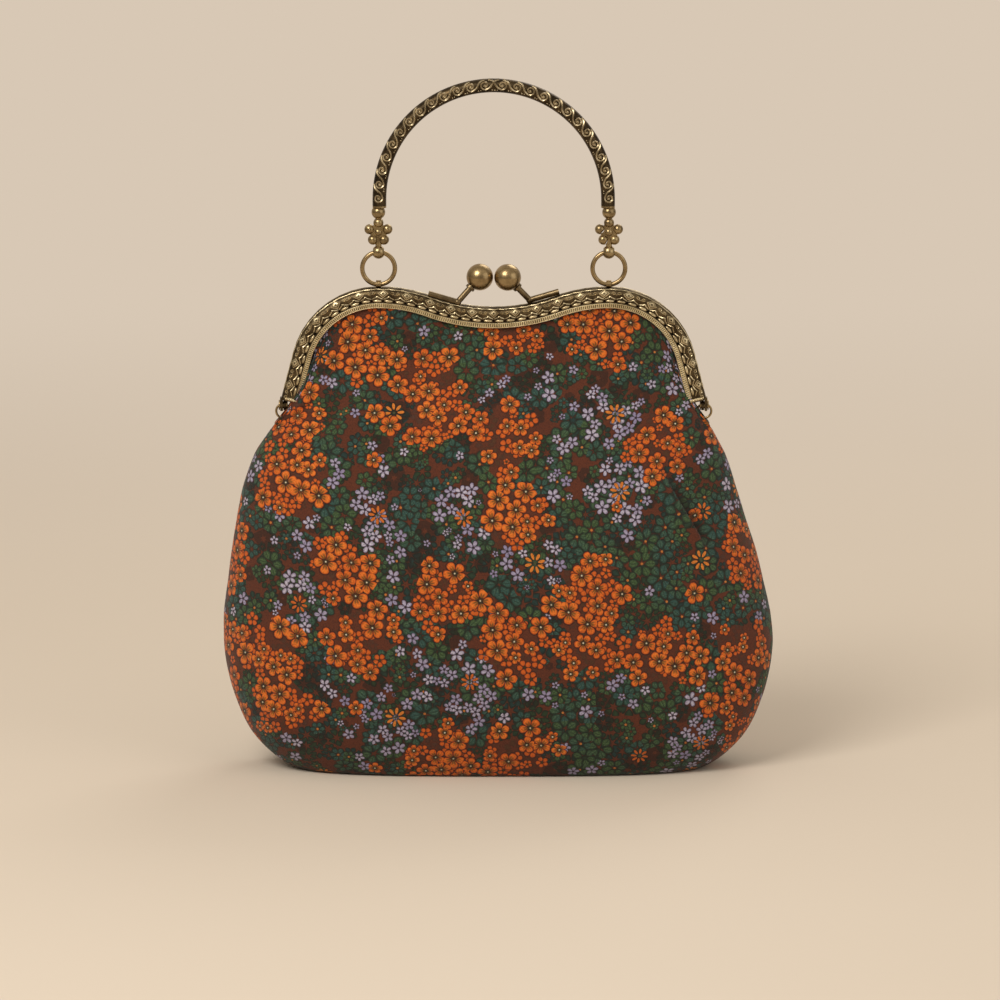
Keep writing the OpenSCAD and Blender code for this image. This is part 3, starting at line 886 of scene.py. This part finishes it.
class Motif:
    """Small raised ornaments, modelled flat in metres: x along the metal, y across, z out of it."""

    @staticmethod
    def wire(name: str, points: list[tuple[float, float, float]], radius: float,
             fine: int = 2) -> Object:
        """A bent wire through points in mm."""
        bpy.ops.curve.primitive_nurbs_path_add(location=(0, 0, 0))
        obj = Bench.active(name)
        spline = obj.data.splines[0]
        spline.points.add(len(points) - len(spline.points))
        for point, co in zip(spline.points, points):
            point.co = (co[0] * MM, co[1] * MM, co[2] * MM, 1.0)
        spline.use_endpoint_u = True
        spline.order_u = 3
        obj.data.resolution_u = fine
        obj.data.bevel_depth = radius * MM
        obj.data.bevel_resolution = 0
        obj.data.use_fill_caps = True
        bpy.ops.object.convert(target="MESH")
        return bpy.context.active_object

    @staticmethod
    def scroll(radius: float, wire: float) -> Object:
        """A volute whose tail runs on round the next one."""
        path = []
        for k in range(16):
            t = k / 15
            angle = TAU * (1.3 * (t - 1) - 0.25)
            r = radius * (0.2 + 0.8 * t)
            path.append((-0.8 + r * math.cos(angle), 0.1 + r * math.sin(angle), 0.12))
        tail = [(0.45, -0.86), (1.15, -0.5), (1.55, 0.15), (1.95, 0.8), (2.5, 1.15), (2.95, 1.2)]
        path += [(-0.8 + a * radius, 0.1 + b * radius, 0.12) for a, b in tail]
        return Motif.wire("scroll", path, wire, 2)

    @staticmethod
    def curl(radius: float, wire: float) -> Object:
        """A pair of small curls back to back."""
        half = []
        for k in range(9):
            t = k / 8
            angle = TAU * 1.2 * t + 2.4
            r = radius * (0.2 + 0.8 * t)
            half.append((-radius * 1.02 + r * math.cos(angle), r * math.sin(angle), 0.08))
        other = [(-x, y, z) for x, y, z in reversed(half)]
        return Motif.wire("curl", half + other, wire, 1)

    @staticmethod
    def diamond(reach: float) -> Object:
        """Two nested raised diamonds."""
        bpy.ops.mesh.primitive_circle_add(vertices=4, radius=reach * MM, fill_type="NGON",
                                          location=(0, 0, 0))
        obj = Bench.active("diamond")
        Bench.edit()
        bpy.ops.transform.resize(value=(1.0, 0.84, 1.0))
        for deep in (0.34, 0.3, 0.34, 0.25):
            Bench.pick(obj, lambda c, n: abs(c.x) + abs(c.y) < 1e-6 and c.z < 1e-6)
            bpy.ops.mesh.inset(thickness=deep * MM)
        rim = reach * MM

        def ring(c: Vector, n: Vector) -> bool:
            """True for the two bands that stand up."""
            at = (abs(c.x) + abs(c.y) / 0.84) / rim
            return c.z < 1e-6 and (at > 0.86 or 0.3 < at < 0.58)
        Bench.pick(obj, ring)
        bpy.ops.mesh.extrude_region_move(TRANSFORM_OT_translate={"value": (0, 0, 0.3 * MM)})
        bpy.ops.object.mode_set(mode="OBJECT")
        return obj

    @staticmethod
    def pillow(long: float, wide: float, high: float) -> Object:
        """A half-round pillow with pointed ends."""
        bpy.ops.mesh.primitive_uv_sphere_add(segments=10, ring_count=6, radius=MM,
                                             location=(0, 0, 0))
        obj = Bench.active("pillow")
        Bench.edit()
        bpy.ops.mesh.bisect(plane_co=(0, 0, -0.2 * MM), plane_no=(0, 0, 1), clear_inner=True)
        bpy.ops.mesh.select_all(action="SELECT")
        bpy.ops.transform.resize(value=(long / 2, wide / 2, high), center_override=(0, 0, 0))
        bpy.ops.object.mode_set(mode="OBJECT")
        return obj

    @staticmethod
    def tick(long: float, wide: float, high: float) -> Object:
        """A small bar with bevelled top edges."""
        bpy.ops.mesh.primitive_cube_add(size=MM, location=(0, 0, 0))
        obj = Bench.active("tick")
        Bench.edit()
        bpy.ops.transform.resize(value=(wide, long, high * 2), center_override=(0, 0, 0))
        Bench.pick(obj, lambda c, n: n.z > 0.5)
        bpy.ops.mesh.bevel(offset=0.3 * wide * MM, segments=1)
        Bench.pick(obj, lambda c, n: n.z < -0.5)
        bpy.ops.mesh.delete(type="FACE")
        bpy.ops.object.mode_set(mode="OBJECT")
        return obj


@dataclass
class Row:
    """Copies of a motif laid along the metal and joined in one piece."""

    points: list[Array] = field(default_factory=list)
    faces: list[list[int]] = field(default_factory=list)
    count: int = 0

    def lay(self, motif: Object, stations: Array, place: Place, mirrored: bool = False) -> "Row":
        """Lays a copy of the motif at each station, then puts the model away.

        Args:
            motif: The ornament, modelled flat.
            stations: Distances along the metal, in mm.
            place: Turns distance along, across and out, in mm, into a place.
            mirrored: Turns the motif over from left to right.

        Returns:
            The row itself.
        """
        flat = np.array([v.co for v in motif.data.vertices]) / MM
        shapes = [list(p.vertices) for p in motif.data.polygons]
        if mirrored:
            flat[:, 0] *= -1
            shapes = [shape[::-1] for shape in shapes]
        for s in stations:
            self.points.append(place(flat[:, 0] + s, flat[:, 1], flat[:, 2]))
            self.faces += [[i + self.count for i in shape] for shape in shapes]
            self.count += len(flat)
        bpy.data.objects.remove(motif)
        return self

    def fix(self, name: str, side: Side, finish: Material, body: str) -> None:
        """Joins the copies in one piece, turned half round for the back, and fixes it to a body."""
        points = np.concatenate(self.points) * np.array([side.sign, side.sign, 1.0])
        obj = Bench.mesh(name, points, self.faces)
        Bench.use(obj)
        bpy.ops.object.shade_smooth_by_angle(angle=math.radians(40))
        Bench.dress(obj, finish, "embossed_brass", body)


def moved(place: Place, across: float, out: float = 0.0) -> Place:
    """The same placing, shifted across the metal and out of it by lengths in mm."""
    return lambda s, t, h: place(s, t + across, h + out)


@dataclass
class FrameDress:
    """Relief of one frame half: bead, scallops between the stitch holes, milled rim; in mm."""

    side: Side
    path: FramePath = field(default_factory=FramePath)
    bead_r: float = 2.6
    bead_w: float = 3.4
    face_w: float = 5.4
    rim_d: tuple[float, float] = (6.7, 9.0)
    rim_w: float = 5.85
    tick_pitch: float = 1.0

    def on_bead(self, s: Array, t: Array, h: Array) -> Array:
        """Places relief round the half-round bead, t towards the outer edge."""
        angle = t / self.bead_r
        out = self.bead_r + h
        return self.path.put(s, self.bead_r - out * np.sin(angle),
                             self.bead_w + out * np.cos(angle))

    def on_face(self, s: Array, t: Array, h: Array) -> Array:
        """Places relief on the flat strip with the stitch holes."""
        return self.path.put(s, self.path.hole_d - t, self.face_w + h)

    def on_rim(self, s: Array, t: Array, h: Array) -> Array:
        """Places relief on the rim."""
        return self.path.put(s, sum(self.rim_d) / 2 - t, self.rim_w + h)

    def dress(self, relief: Material, milled: Material) -> None:
        """Builds the three bands of relief and fixes them to the frame half."""
        holes, pitch = self.path.holes(), self.path.hole_pitch
        label = self.side.value
        even, odd = holes[0::2], holes[1::2]
        lifted = moved(self.on_bead, 0.7)
        bead = Row()
        bead.lay(Motif.diamond(2.5), even, lifted)
        last = np.array([-1.0, 1.0]) * (self.path.hole_run - 3.2)
        bead.lay(Motif.curl(1.15, 0.22), np.concatenate([odd, last]), lifted)
        half = pitch / 2
        arch = [(-half, -2.3, 0.1), (-half * 0.5, -1.9, 0.15), (-half * 0.1, -0.9, 0.15),
                (0, -0.7, 0.15),
                (half * 0.1, -0.9, 0.15), (half * 0.5, -1.9, 0.15), (half, -2.3, 0.1)]
        bead.lay(Motif.wire("arch", arch, 0.26, 1), np.append(holes, holes[-1] + pitch) - half,
                 self.on_bead)
        top = [(half * k, 3.2 - 0.3 * math.cos(k * math.pi / 2), 0.1) for k in (-1.0, -0.5, 0.0,
                                                                                0.5, 1.0)]
        bead.lay(Motif.wire("scallop_line", top, 0.2, 1), holes, self.on_bead)
        bead.fix(f"{label}_bead_relief", self.side, relief, self.side.body)

        strip = Row()
        strip.lay(Motif.pillow(4.0, 1.5, 0.55), np.append(holes, holes[-1] + pitch) - half,
                  self.on_face)
        strip.fix(f"{label}_scallops", self.side, relief, self.side.body)

        reach = self.path.hole_run - 2.4
        count = int(reach // self.tick_pitch)
        ticks = np.arange(-count, count + 1) * self.tick_pitch
        rim = Row()
        rim.lay(Motif.tick(1.5, 0.7, 0.24), ticks, self.on_rim)
        for t in (0.95, -0.95):
            line = [(s, t, 0.02) for s in np.linspace(-reach, reach, 181)]
            rim.lay(Motif.wire("rim_line", line, 0.24, 1), np.array([0.0]), self.on_rim)
        end = np.array([-1.0, 1.0]) * (self.path.hole_run - 1.1)
        rim.lay(Motif.tick(6.2, 1.4, 0.9), end, moved(self.on_face, 0.7))
        for deep in (-1.9, -0.6, 0.7, 2.0, 3.3):
            rim.lay(Motif.pillow(0.9, 0.9, 0.35), end, moved(self.on_face, deep, 0.85))
        rim.fix(f"{label}_rim_milling", self.side, milled, self.side.body)


@dataclass
class HandleDress:
    """Scroll relief on both faces of the arched bar; in mm."""

    bar_x: float = 54.5
    bar_r: float = 3.3
    arch_z: float = 274.7
    foot_z: float = 271.4
    units: int = 26

    @property
    def length(self) -> float:
        """Length of the bar along its middle."""
        return math.pi * self.bar_x + 2 * (self.arch_z - self.foot_z)

    def on_bar(self, s: Array, t: Array, h: Array) -> Array:
        """Places relief on the bar's front, t towards the outside of the arch."""
        leg = self.arch_z - self.foot_z
        arc = np.clip(s - leg, 0, math.pi * self.bar_x)
        angle = math.pi - arc / self.bar_x
        nx, nz = np.cos(angle), np.sin(angle)
        rest = s - leg - arc
        turn = (t + 0.45) / self.bar_r
        out = self.bar_r + h
        far = self.bar_x + out * np.sin(turn)
        z = self.arch_z + far * nz - np.abs(rest)
        return np.stack([far * nx, -out * np.cos(turn), z], axis=-1)

    def dress(self, relief: Material) -> None:
        """Builds the running scroll with seeds beside it and fixes it to the handle."""
        unit = (self.length - 3.0) / self.units
        stations = 1.5 + (np.arange(self.units) + 0.5) * unit
        half = self.units // 2
        for side in Side:
            row = Row()
            row.lay(Motif.scroll(2.25, 0.42), stations[:half], self.on_bar)
            row.lay(Motif.scroll(2.25, 0.42), stations[half:], self.on_bar, mirrored=True)
            row.lay(Motif.pillow(1.0, 1.0, 0.4),
                    np.concatenate([stations[:half] - 0.8, stations[half:] + 0.8]),
                    self.on_bar)
            seeds = np.concatenate([stations[:half] + unit * 0.4, stations[half:] - unit * 0.4])
            inner, outer = moved(self.on_bar, -2.5), moved(self.on_bar, 2.2)
            row.lay(Motif.pillow(0.9, 0.7, 0.35), seeds, inner)
            row.lay(Motif.pillow(0.7, 0.6, 0.3), seeds + 1.1, inner)
            row.lay(Motif.pillow(0.8, 0.6, 0.3), seeds - np.sign(seeds - self.length / 2) * 1.2,
                    outer)
            row.fix(f"handle_{side.value}_scroll", side, relief, "grip")


@dataclass
class Studio:
    """Camera, soft light and pale paper."""

    aim: tuple[float, float, float] = (0.003, 0.0, 0.1291)
    distance: float = 3.0
    elevation: float = 10.0
    view_width: float = 0.4808
    sensor: float = 36.0
    lamp_z: float = 0.14
    paper_w: float = 6.0
    paper_h: float = 3.0
    paper_bend: float = 1.2

    def build(self) -> None:
        """Sets the camera, the lamps, the world and the paper."""
        scene = bpy.context.scene
        scene.view_settings.view_transform = "Standard"
        e = math.radians(self.elevation)
        back = Vector((0.0, -math.cos(e), math.sin(e)))
        lens = bpy.data.cameras.new("camera")
        lens.sensor_width = self.sensor
        lens.lens = self.sensor * self.distance / self.view_width
        camera = bpy.data.objects.new("camera", lens)
        camera.location = Vector(self.aim) + back * self.distance
        camera.rotation_euler = (-back).to_track_quat("-Z", "Y").to_euler()
        scene.collection.objects.link(camera)
        scene.camera = camera
        for name, place, size, power, tint in (
                ("key_lamp", (-0.7, -1.15, 1.35), 0.8, 20.0, (1.0, 0.95, 0.88)),
                ("fill_lamp", (1.4, -1.0, 0.7), 1.3, 5.0, (1.0, 0.96, 0.92)),
                ("rim_lamp", (0.5, 1.1, 1.2), 0.8, 6.0, (1.0, 0.96, 0.9))):
            data = bpy.data.lights.new(name, "AREA")
            data.size, data.energy, data.color = size, power, tint
            lamp = bpy.data.objects.new(name, data)
            lamp.location = place
            ray = Vector((0, 0, self.lamp_z)) - Vector(place)
            lamp.rotation_euler = ray.to_track_quat("-Z", "Y").to_euler()
            scene.collection.objects.link(lamp)
        world = bpy.data.worlds.new("studio_air")
        scene.world = world
        g = Graph("studio_air", world)
        _, _, up = g.split(g.out(g.node("TexCoord"), "Generated"))
        level = g.step(up, -0.1, 0.75, 0.32, 0.84)
        air = g.node("Background", None, {"Color": srgb(232, 222, 208), "Strength": level})
        g.node("OutputWorld", None, {"Surface": g.out(air)})
        bpy.ops.mesh.primitive_plane_add(size=self.paper_w, location=(0, 0, -0.0002))
        paper = Bench.active("paper")
        bpy.ops.object.mode_set(mode="EDIT")
        bpy.ops.mesh.select_mode(type="EDGE")
        bpy.ops.mesh.select_all(action="DESELECT")
        mesh = bmesh.from_edit_mesh(paper.data)
        for edge in mesh.edges:
            edge.select_set(all(v.co.y > 0.48 * self.paper_w for v in edge.verts))
        bmesh.update_edit_mesh(paper.data)
        bpy.ops.mesh.extrude_region_move(TRANSFORM_OT_translate={"value": (0, 0, self.paper_h)})
        bpy.ops.object.mode_set(mode="OBJECT")
        bpy.ops.object.transform_apply(location=True, rotation=True, scale=True)
        Bench.apply(paper, "BEVEL", width=self.paper_bend, segments=16, limit_method="ANGLE")
        Bench.use(paper)
        bpy.ops.object.shade_smooth()
        paper.data.materials.append(Backdrop().make())


def recast(nodes: dict[str, Object]) -> None:
    """Gives the metal solids their brass, frame and handle dark, the plain fittings polished."""
    aged = Brass("aged_brass", bright=(120, 104, 76), dark=(62, 51, 36), wear=0.5, rough=0.38)
    bar = Brass("aged_bar_brass", bright=(104, 87, 62), dark=(50, 41, 29), wear=0.45, rough=0.4,
                grit=0.06, split_z=0.2716)
    shiny = Brass("polished_brass", bright=(168, 145, 106), dark=(124, 104, 73), wear=0.75,
                  rough=0.29, grit=0.05)
    finishes = {"front_frame": aged.make(), "handle": bar.make()}
    finishes["back_frame"] = finishes["front_frame"]
    arm = Brass("arm_brass", bright=(136, 118, 88), dark=(90, 76, 55), wear=0.6, rough=0.33,
                grit=0.06).make()
    finishes["front_clasp_arm"] = finishes["back_clasp_arm"] = arm
    polished = shiny.make()
    for name, obj in nodes.items():
        if "panel" in name or "lining" in name:
            continue
        finish = finishes.get(name, polished)
        obj.data.materials.clear()
        obj.data.materials.append(finish)
        LOG.info("%s: %s", name, finish.name)


def main() -> None:
    """Builds the studio and the bag's pieces in order, and notes the sizes."""
    logging.basicConfig(level=logging.INFO, format="%(name)s %(message)s")
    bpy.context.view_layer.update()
    Studio().build()
    recast(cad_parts)
    print_, cotton = FloralCloth().make(), PlainCloth().make()
    relief = Brass("relief_brass", bright=(222, 206, 168), dark=(150, 131, 96), wear=0.7,
                   rough=0.32).make()
    scroll = Brass("scroll_brass", bright=(196, 180, 147), dark=(132, 116, 88), wear=0.7,
                   rough=0.35).make()
    milled = Brass("milled_brass", bright=(238, 224, 188), dark=(190, 172, 132), wear=0.8,
                   rough=0.36).make()
    for side in Side:
        BagCloth(side).dress(print_, cotton)
        FrameDress(side).dress(relief, milled)
    HandleDress().dress(scroll)


if __name__ == "__main__":
    main()
